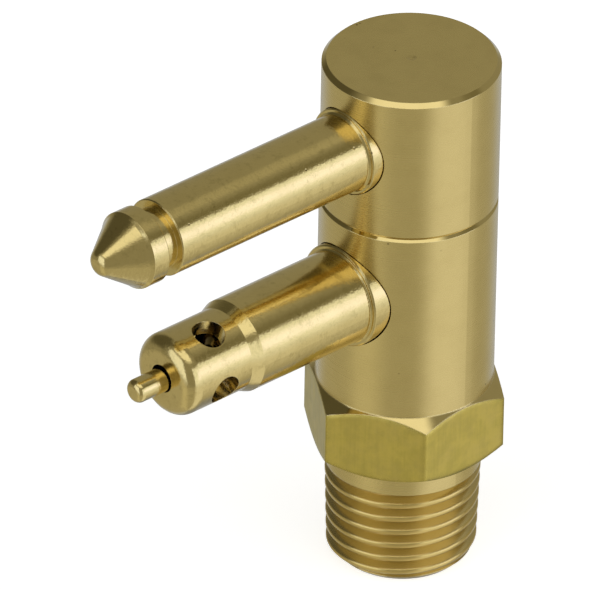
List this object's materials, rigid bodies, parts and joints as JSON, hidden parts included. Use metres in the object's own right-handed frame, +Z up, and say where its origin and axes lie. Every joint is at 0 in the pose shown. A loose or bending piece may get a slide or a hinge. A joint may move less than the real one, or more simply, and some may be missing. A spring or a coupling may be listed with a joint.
{
  "type": "two-prong male fuel tank connector",
  "caption": "Brass fuel line connector with a tapered pipe thread, spanner hexagon, round barrel, sprung valve prong and guide prong with latch groove.",
  "frame": {"origin": "centre of the fuel bore's mouth, in the flat end of the tapered thread", "axes": "+Z up the barrel's axis, away from the tank; -Y along both prongs; X across the hexagon's flats"},
  "size_m": [0.016, 0.0456, 0.0507],
  "materials": {
    "body_brass": "satin, machined",
    "prong_brass": "bright, turned",
    "seal_rubber": "matt",
    "spring_steel": "drawn wire"
  },
  "bodies": {
    "connector": {"valve_body": "body_brass", "guide_head": "body_brass", "guide_pin": "prong_brass", "fuel_prong": "prong_brass", "prong_o_ring": "seal_rubber", "spring_retainer": "prong_brass", "valve_spring": "spring_steel"},
    "valve": {"valve_stem": "prong_brass", "poppet_o_ring": "seal_rubber"}
  },
  "joints": [
    {"name": "valve_slide", "type": "slide", "parent": "connector", "child": "valve", "axis": [0, 1, 0], "range_m": [0, 0.0025], "stiffness_N_per_m": 900, "springref_m": -0.0025, "deforming": ["valve_spring"]}
  ]
}
